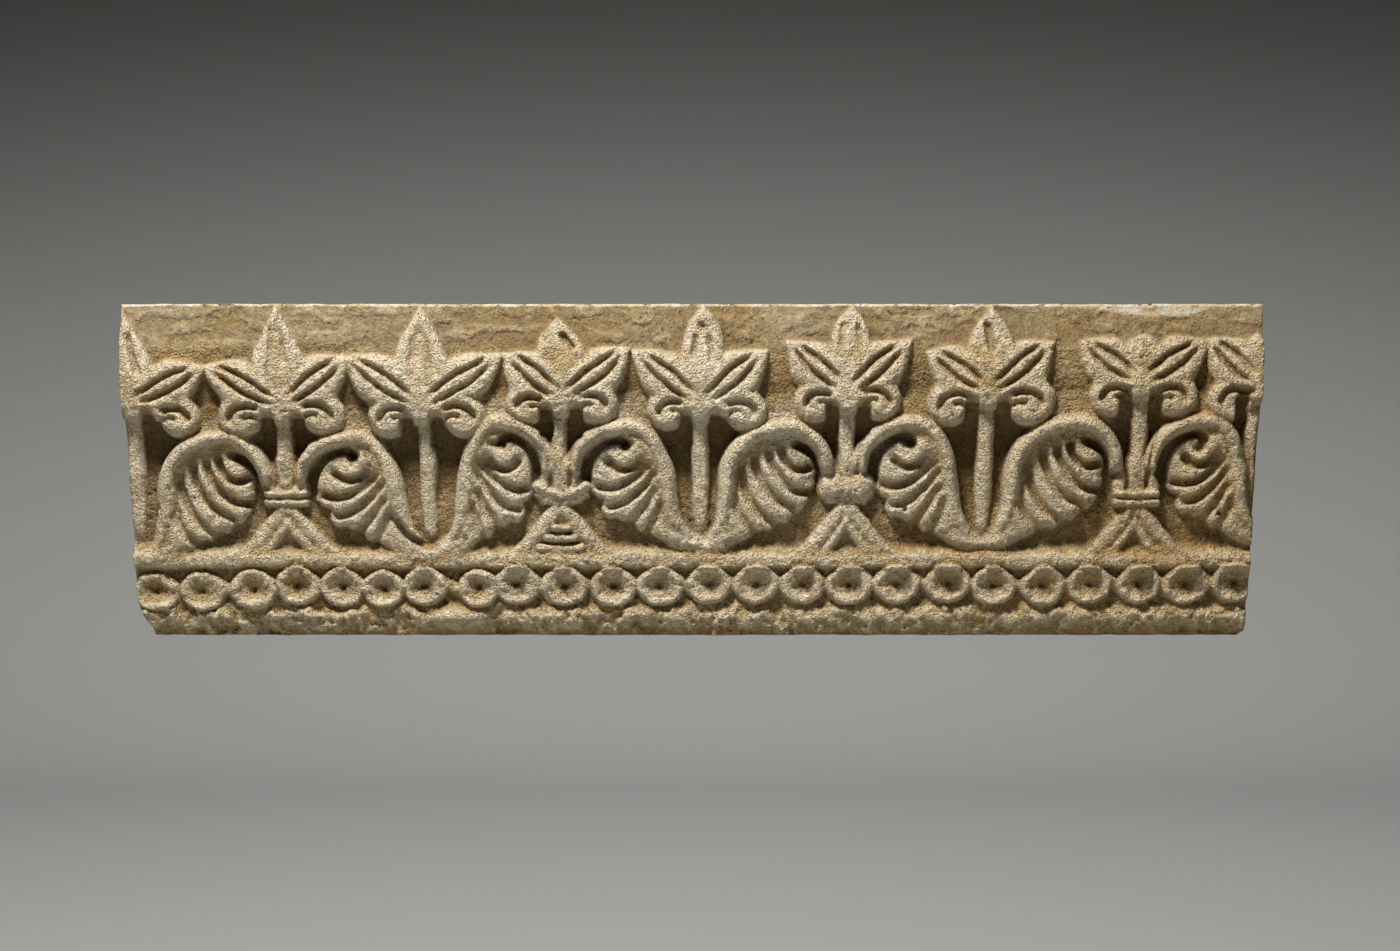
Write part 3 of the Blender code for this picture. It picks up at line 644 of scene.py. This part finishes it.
def block_shell(columns, rows, layers):
    """A closed box of small squares: the face at y = -1, the back at y = 0 and walls of thin strips."""
    form = bmesh.new()
    bmesh.ops.create_grid(form, x_segments=columns, y_segments=rows, size=0.5)
    for vertex in form.verts:
        vertex.co = (vertex.co.x, 0, vertex.co.y)
    made = bmesh.ops.extrude_face_region(form, geom=form.faces[:], use_keep_orig=True)["geom"]
    front = [thing for thing in made if isinstance(thing, bmesh.types.BMVert)]
    bmesh.ops.translate(form, vec=(0, -1, 0), verts=front)
    walls = [edge for edge in form.edges if abs(edge.verts[0].co.y - edge.verts[1].co.y) > 0.5]
    bmesh.ops.subdivide_edges(form, edges=walls, cuts=layers - 1)
    bmesh.ops.recalc_face_normals(form, faces=form.faces)
    # squared up and sorted by place, because the operators' own order differs from run to run
    steps = (2 * columns, layers, 2 * rows)
    for vertex in form.verts:
        vertex.co = [round(at * count) / count for at, count in zip(vertex.co, steps)]
    weights = Vector((1, 10000, 100))
    form.verts.sort(key=lambda vertex: weights.dot(vertex.co))
    form.edges.sort(key=lambda edge: weights.dot(edge.verts[0].co + edge.verts[1].co))
    form.faces.sort(key=lambda face: weights.dot(face.calc_center_median()))
    mesh = bpy.data.meshes.new("stucco_block")
    form.to_mesh(mesh)
    form.free()
    return mesh


def sampled(grid, x, z):
    """The grid's values at places of the block, read between its points."""
    columns, rows = np.array(grid.shape) - 1
    u = np.clip((x / LENGTH + 0.5) * columns, 0, columns - 1e-6)
    v = np.clip((z / HEIGHT + 0.5) * rows, 0, rows - 1e-6)
    i = u.astype(int)
    j = v.astype(int)
    s = u - i
    t = v - j
    near = grid[i, j] * (1 - s) + grid[i + 1, j] * s
    far = grid[i, j + 1] * (1 - s) + grid[i + 1, j + 1] * s
    return near * (1 - t) + far * t


def places(mesh):
    """The mesh's points, as rows of x, y and z."""
    place = np.empty(len(mesh.vertices) * 3)
    mesh.vertices.foreach_get("co", place)
    return place.reshape(-1, 3)


def place_shell(mesh, depth):
    """Moves the closed box onto the carved face, the rough ends and beds and the flat back."""
    place = places(mesh)
    x = place[:, 0] * LENGTH
    z = place[:, 2] * HEIGHT
    share = -place[:, 1]
    # the ends, beds and back are rough, and dip inwards only
    rough = COARSE_DIP * (0.5 + 0.5 * lumps(x * 1000 + z * 700, place[:, 1] * 150 + z * 1000, 16, 31))
    rough += FINE_DIP * (0.5 + 0.5 * lumps(x * 1000 - z * 600, place[:, 1] * 150 - x * 400, 6, 32))
    y = -(sampled(depth, x, z) * share + rough * (share < 0.02))
    nick = FINE_DIP * (share > 0.98) * (0.5 + 0.5 * lumps(x * 1000, z * 1000, 11, 33))
    inwards = rough * step_between(1.02, 0.9, share) + nick
    arris = BACK_ARRIS * step_between(0.10, 0, share) + INSET
    at_end = np.abs(np.abs(place[:, 0]) - 0.5) < 1e-4
    at_bed = np.abs(np.abs(place[:, 2]) - 0.5) < 1e-4
    moved = worn_ends(x, z)
    moved = np.where(at_end, moved - np.sign(x) * (inwards + arris), moved)
    lowered = np.where(at_bed, z - np.sign(z) * (inwards * 0.8 + arris), z)
    mesh.vertices.foreach_set("co", np.stack([moved, y, lowered], axis=1).ravel())
    mesh.update()


def thinned(mesh, triangles, context):
    """The mesh with its flattest places merged, down to this many triangles."""
    draft = bpy.data.objects.new("draft", mesh)
    context.scene.collection.objects.link(draft)
    thin = draft.modifiers.new("thin", "DECIMATE")
    thin.ratio = triangles / sum(len(face.vertices) - 2 for face in mesh.polygons)
    done = bpy.data.meshes.new_from_object(draft.evaluated_get(context.evaluated_depsgraph_get()))
    bpy.data.objects.remove(draft)
    return done


def colour_guides(mesh, place, depth, relief, height):
    """Stores what the colours follow, and returns each point's share of the carved face.

    hollow, crest and raised say how deep, how proud and how high a place of the carving is, and face
    fades out on the beds and ends behind the carving.
    """
    x, y, z = place.T
    behind = np.abs(sampled(depth, x, z) + y)
    carved = step_between(0.006, 0.003, behind)
    wide = softened(relief, 13)
    close = softened(relief, 4)
    guides = {
        # hollow sets the dirt and painted shade of the recesses, crest the wear and painted highlight of
        # the crests
        "hollow": carved * np.clip((sampled(wide - relief, x, z) - 1) / 8, 0, 1),
        "crest": carved * np.clip(sampled(relief - close, x, z) / 1.6, 0, 1),
        "raised": carved * np.clip(sampled(height, x, z) / 9, 0, 1),
        "face": step_between(0.030, 0.008, behind),
    }
    for name, values in guides.items():
        mesh.attributes.new(name, "FLOAT", "POINT").data.foreach_set("value", values)
    return carved


def crisp_arrises(mesh, off_face):
    """Shades the worn carving round, and only the arrises of the beds, ends and back crisp."""
    mesh.shade_smooth()
    mesh.set_sharp_from_angle(angle=math.radians(50))
    marks = mesh.attributes["sharp_edge"].data
    sharp = np.empty(len(mesh.edges), bool)
    marks.foreach_get("value", sharp)
    ends = np.empty(len(mesh.edges) * 2, int)
    mesh.edges.foreach_get("vertices", ends)
    marks.foreach_set("value", sharp & off_face[ends.reshape(-1, 2)].all(axis=1))


def linear(colour):
    """An sRGB hex colour as linear red, green and blue."""
    values = [int(colour[at:at + 2], 16) / 255 for at in (1, 3, 5)]
    return [v / 12.92 if v <= 0.04045 else ((v + 0.055) / 1.055) ** 2.4 for v in values]


class FriezeSettings(bpy.types.PropertyGroup):
    square: FloatProperty(name="Mesh square", description="Squares of the face before thinning",
                          default=0.00125, min=0.0008, unit="LENGTH")
    triangles: IntProperty(name="Triangles", description="Triangles left after thinning",
                           default=190000, min=20000)
    hand: FloatProperty(name="Hand", description="How far the carving strays from its drawing",
                        default=1.0, min=0)
    wear: FloatProperty(name="Wear", description="How uneven and pitted the surface is",
                        default=1.0, min=0)
    buff: FloatVectorProperty(name="Buff", description="The stucco's own colour", subtype="COLOR",
                              default=linear("#B29C75"))
    ochre: FloatVectorProperty(name="Ochre", description="Iron stains in the stucco", subtype="COLOR",
                               default=linear("#A68A5B"))
    # the pale wash is the lime bloom on the leaves, and also the painted highlight on the crests
    wash_and_highlight: FloatVectorProperty(name="Pale wash", description="Greyish lime bloom on the leaves",
                              subtype="COLOR", default=linear("#D5C9B0"))
    # the colour of the hollows: old dirt together with painted shade
    dirt_and_shade: FloatVectorProperty(name="Dirt_and_shade", description="Old dirt in the hollows", subtype="COLOR",
                              default=linear("#5A4425"))
    plaster: FloatVectorProperty(name="Repair plaster", description="White plaster of the repairs",
                                 subtype="COLOR", default=linear("#BFBAAC"))
    key_power: FloatProperty(name="Key light", description="Soft light above the block", default=110,
                             min=0, unit="POWER")
    fill_power: FloatProperty(name="Fill light", description="Wide light in front", default=5.5,
                              min=0, unit="POWER")
    back_power: FloatProperty(name="Backdrop light", description="Wide light on the backdrop", default=62,
                              min=0, unit="POWER")


def add_node(tree, kind, inputs=None, **settings):
    """Adds a node to a tree; each input takes a value, or the socket that feeds it."""
    made = tree.nodes.new(kind)
    for name, value in settings.items():
        setattr(made, name, value)
    for name, value in (inputs or {}).items():
        if isinstance(value, bpy.types.NodeSocket):
            tree.links.new(value, made.inputs[name])
        else:
            made.inputs[name].default_value = value
    return made


def per_metre(millimetres):
    """The scale of a pattern whose features are this many millimetres apart."""
    return 1000 / millimetres


def sandy_gypsum_stucco(settings):
    # Gypsum and sand, modelled wet and cut with a knife, then weathered: no gloss at all, buff with
    # ochre iron stains, a pale bloom where it was rubbed, and dark grains and pits of 1 to 3 mm.
    # its colour also carries painted highlights on the crests, and painted shade in the hollows and along
    # the foot
    material = bpy.data.materials.new("sandy_gypsum_stucco")
    material.use_nodes = True
    tree = material.node_tree
    shader = tree.nodes["Principled BSDF"]
    place = add_node(tree, "ShaderNodeTexCoord").outputs["Object"]
    parts = add_node(tree, "ShaderNodeSeparateXYZ", {0: place})

    def spread(value, low, high, to_low=0.0, to_high=1.0):
        values = {"Value": value, "From Min": low, "From Max": high, "To Min": to_low, "To Max": to_high}
        return add_node(tree, "ShaderNodeMapRange", values, interpolation_type="SMOOTHSTEP").outputs[0]

    def noise(millimetres, detail=3.0, rough=0.55, at=place):
        values = {"Vector": at, "Scale": per_metre(millimetres), "Detail": detail, "Roughness": rough}
        return add_node(tree, "ShaderNodeTexNoise", values).outputs[0]

    def mix(share, first, second, blend="MIX"):
        values = {0: share, 6: first, 7: second}
        return add_node(tree, "ShaderNodeMix", values, data_type="RGBA", blend_type=blend).outputs[2]

    def maths(operation, first, second):
        return add_node(tree, "ShaderNodeMath", {0: first, 1: second}, operation=operation).outputs[0]

    def attribute(name):
        return add_node(tree, "ShaderNodeAttribute", attribute_name=name).outputs["Fac"]

    hollow = attribute("hollow")
    crest = attribute("crest")
    raised = attribute("raised")
    face = attribute("face")

    # broad stains, from the real block's patches of 40 to 120 mm
    stain = spread(noise(90, 4, 0.6), 0.42, 0.62)
    stain = maths("ADD", maths("MULTIPLY", stain, 0.75), spread(parts.outputs["X"], 0.05, 0.45, 0.0, 0.35))
    base = mix(stain, (*settings.buff, 1), (*settings.ochre, 1))
    # the bloom lies on the raised leaves, least towards the left end
    bloom = maths("MULTIPLY", spread(noise(60, 4, 0.6), 0.36, 0.6), raised)
    bloom = maths("MULTIPLY", bloom, spread(parts.outputs["X"], -0.45, -0.1, 0.3, 0.75))
    bloom = maths("MULTIPLY", bloom, spread(parts.outputs["X"], 0.0, 0.4, 1.0, 0.15))
    base = mix(bloom, base, (*settings.wash_and_highlight, 1))
    # the band was never washed: duller and browner than the carving
    flat = maths("MULTIPLY", spread(parts.outputs["Z"], 0.098, 0.118), maths("SUBTRACT", 1.0, raised))
    base = mix(flat, base, mix(1.0, base, (0.58, 0.60, 0.64, 1), "MULTIPLY"))
    # painted shade along the foot: the lowest strip darkened, where the face turns under away from the
    # light
    foot = spread(parts.outputs["Z"], -0.134, -0.147, 1.0, 0.86)
    base = mix(1.0, base, foot, "MULTIPLY")
    # crests are paler: partly worn stucco, partly a painted highlight; less of it on the band and towards
    # the right end
    pale = maths("MULTIPLY", crest, spread(flat, 0.0, 1.0, 0.65, 0.3))
    pale = maths("MULTIPLY", pale, spread(parts.outputs["X"], 0.1, 0.45, 1.0, 0.7))
    base = mix(pale, base, (*settings.wash_and_highlight, 1))
    # the hollows darkened: partly old dirt, partly painted shade
    base = mix(maths("MULTIPLY", hollow, 0.72), base, (*settings.dirt_and_shade, 1))
    # mottling of 6 mm, then sand grains, drawn 1.6 mm wide because finer ones would not show
    mottle = spread(noise(7, 4, 0.65), 0.3, 0.7, 0.8, 1.16)
    base = mix(1.0, base, mottle, "MULTIPLY")
    grains = add_node(tree, "ShaderNodeTexVoronoi", {"Vector": place, "Scale": per_metre(3.2)})
    dark = spread(grains.outputs["Distance"], 0.16, 0.34, 0.35, 1.0)
    rare = spread(noise(9, 2), 0.42, 0.58)
    base = mix(rare, base, mix(1.0, base, dark, "MULTIPLY"))
    sand = add_node(tree, "ShaderNodeTexVoronoi", {"Vector": place, "Scale": per_metre(1.9)})
    tone = add_node(tree, "ShaderNodeSeparateColor", {0: sand.outputs["Color"]})
    base = mix(1.0, base, spread(tone.outputs[0], 0.0, 1.0, 0.86, 1.1), "MULTIPLY")
    # white plaster on the face's edges: along the head, a patch at its right and the left arris
    ragged = maths("MULTIPLY", maths("SUBTRACT", noise(14, 4, 0.7), 0.5), 0.006)
    level = maths("ADD", parts.outputs["Z"], ragged)
    rim = spread(level, HIGH[2] - 0.0032, HIGH[2] - 0.0022)
    run = maths("MULTIPLY", spread(parts.outputs["X"], 0.33, 0.40), spread(parts.outputs["X"], 0.46, 0.43))
    dip = maths("MULTIPLY", run, 0.009)
    patch = spread(maths("ADD", level, dip), HIGH[2] - 0.004, HIGH[2] - 0.001, 0.0, 0.8)
    arris = spread(maths("ADD", parts.outputs["X"], ragged), LOW[0] + 0.003, LOW[0] + 0.002)
    white = maths("MAXIMUM", maths("MAXIMUM", rim, patch), maths("MULTIPLY", arris, 0.7))
    white = maths("MULTIPLY", white, face)
    aged = mix(spread(noise(20, 4, 0.7), 0.35, 0.65), (*settings.plaster, 1), (*settings.buff, 1))
    base = mix(white, base, aged)
    tree.links.new(base, shader.inputs["Base Color"])
    shader.inputs["Roughness"].default_value = 0.95
    shader.inputs["Specular IOR Level"].default_value = 0.2

    # sand grain of 1 to 2 mm and pits of 3 mm as bump, softer on the band
    grain = noise(2.4, 3, 0.65)
    pitted = spread(add_node(tree, "ShaderNodeTexVoronoi",
                             {"Vector": place, "Scale": per_metre(3.6)}).outputs["Distance"], 0.0, 0.35)
    bumps = maths("ADD", grain, maths("MULTIPLY", pitted, 0.35))
    bumps = maths("ADD", bumps, noise(5, 3, 0.6))
    pebble = add_node(tree, "ShaderNodeTexVoronoi", {"Vector": place, "Scale": per_metre(2.1)})
    bumps = maths("SUBTRACT", bumps, maths("MULTIPLY", pebble.outputs["Distance"], 0.55))
    strength = spread(flat, 0.0, 1.0, 1.0, 0.4)
    bump = add_node(tree, "ShaderNodeBump", {"Height": bumps, "Strength": strength, "Distance": 0.0032})
    tree.links.new(bump.outputs[0], shader.inputs["Normal"])
    return material


class FRIEZE_OT_block(bpy.types.Operator):
    """Build the carved block and its stucco"""

    bl_idname = "frieze.block"
    bl_label = "Carved block"

    def execute(self, context):
        settings = context.scene.frieze
        columns = round(LENGTH / settings.square)
        rows = round(HEIGHT / settings.square)
        xs, zs = np.meshgrid(np.linspace(LOW[0], HIGH[0], columns + 1),
                             np.linspace(LOW[2], HIGH[2], rows + 1), indexing="ij")
        depth, relief, height = carved_front(xs.ravel(), zs.ravel(), xs.shape, settings)
        depth = depth.reshape(xs.shape)
        relief = relief.reshape(xs.shape)
        height = height.reshape(xs.shape)

        mesh = block_shell(columns, rows, WALL_LAYERS)
        place_shell(mesh, depth)
        done = thinned(mesh, settings.triangles, context)
        place = np.clip(places(done), LOW, HIGH)
        done.vertices.foreach_set("co", place.ravel())
        carved = colour_guides(done, place, depth, relief, height)
        crisp_arrises(done, carved < 0.5)

        done.name = "stucco_block"
        done.materials.clear()
        done.materials.append(sandy_gypsum_stucco(settings))
        block = bpy.data.objects.new("stucco_block", done)
        context.scene.collection.objects.link(block)
        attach(block, "root")
        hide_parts("stucco_panel")
        return {"FINISHED"}


class FRIEZE_OT_stage(bpy.types.Operator):
    """Build the floor, the backdrop, the lights and the camera"""

    bl_idname = "frieze.stage"
    bl_label = "Stage"

    def execute(self, context):
        settings = context.scene.frieze
        scene = context.scene
        # a level floor that sweeps up into the backdrop
        form = bmesh.new()
        bmesh.ops.create_grid(form, x_segments=2, y_segments=60, size=1)
        for vertex in form.verts:
            run = (vertex.co.y + 1) * 5.5
            bend = min(max(run - 8.0, 0), 3.0)
            vertex.co = (vertex.co.x * 9, run - 4.5 - 0.35 * bend ** 1.6, -0.62 + 0.42 * bend ** 2.2)
        mesh = bpy.data.meshes.new("floor")
        form.to_mesh(mesh)
        form.free()
        mesh.shade_smooth()
        mesh.materials.append(studio_paint())
        floor = bpy.data.objects.new("floor", mesh)
        scene.collection.objects.link(floor)

        for name, power, size, where, aim in (
            ("key", settings.key_power, 0.4, (-0.45, -1.7, 1.8), (0, -0.1, 0)),
            ("fill", settings.fill_power, 2.6, (0.3, -3.4, -1.2), (0, -0.1, 0)),
            ("backdrop_light", settings.back_power, 3.0, (0, 2.2, 2.6), (0, 4.8, -1.1)),
        ):
            lamp = bpy.data.lights.new(name, "AREA")
            lamp.energy = power
            lamp.size = size
            lamp.color = (0.94, 0.97, 1.0) if name == "backdrop_light" else (1.0, 0.965, 0.92)
            light = bpy.data.objects.new(name, lamp)
            light.visible_camera = False
            light.location = where
            light.rotation_euler = (Vector(aim) - Vector(where)).to_track_quat("-Z", "Y").to_euler()
            scene.collection.objects.link(light)

        world = bpy.data.worlds.new("studio")
        world.use_nodes = True
        sky = world.node_tree.nodes["Background"]
        sky.inputs["Color"].default_value = (0.90, 0.83, 0.68, 1)
        sky.inputs["Strength"].default_value = 0.03
        scene.world = world

        lens = bpy.data.cameras.new("camera")
        lens.lens = 85
        lens.sensor_width = 36
        camera = bpy.data.objects.new("camera", lens)
        camera.location = (0.007, -3.044, -0.0027)
        camera.rotation_euler = (math.pi / 2, 0, 0)
        scene.collection.objects.link(camera)
        scene.camera = camera
        scene.view_settings.view_transform = "Standard"
        return {"FINISHED"}


def studio_paint():
    # Matt emulsion on a seamless sweep: pale on the floor, with painted shade that turns it darker grey
    # towards the top.
    material = bpy.data.materials.new("matt_studio_paint")
    material.use_nodes = True
    tree = material.node_tree
    shader = tree.nodes["Principled BSDF"]
    place = add_node(tree, "ShaderNodeTexCoord").outputs["Object"]
    height = add_node(tree, "ShaderNodeSeparateXYZ", {0: place})
    # painted shade: the sweep darkens with height
    share = add_node(tree, "ShaderNodeMapRange",
                     {"Value": height.outputs["Z"], "From Min": -0.45, "From Max": 1.3},
                     interpolation_type="SMOOTHSTEP")
    shade = add_node(tree, "ShaderNodeMix", {0: share.outputs[0], 6: (*linear("#B5B6B2"), 1),
                                             7: (*linear("#30322D"), 1)}, data_type="RGBA")
    tree.links.new(shade.outputs[2], shader.inputs["Base Color"])
    shader.inputs["Roughness"].default_value = 0.9
    return material


class FRIEZE_PT_panel(bpy.types.Panel):
    bl_idname = "FRIEZE_PT_panel"
    bl_label = "Stucco frieze block"
    bl_space_type = "VIEW_3D"
    bl_region_type = "UI"
    bl_category = "Frieze"

    def draw(self, context):
        for name in FriezeSettings.__annotations__:
            self.layout.prop(context.scene.frieze, name)
        for step in STEPS:
            self.layout.operator(step.bl_idname)


STEPS = (FRIEZE_OT_block, FRIEZE_OT_stage)
CLASSES = (FriezeSettings, *STEPS, FRIEZE_PT_panel)


def register():
    for made in CLASSES:
        bpy.utils.register_class(made)
    bpy.types.Scene.frieze = PointerProperty(type=FriezeSettings)


def unregister():
    del bpy.types.Scene.frieze
    for made in reversed(CLASSES):
        bpy.utils.unregister_class(made)


def main():
    register()
    bpy.ops.frieze.block()
    bpy.ops.frieze.stage()


if __name__ == "__main__":
    main()
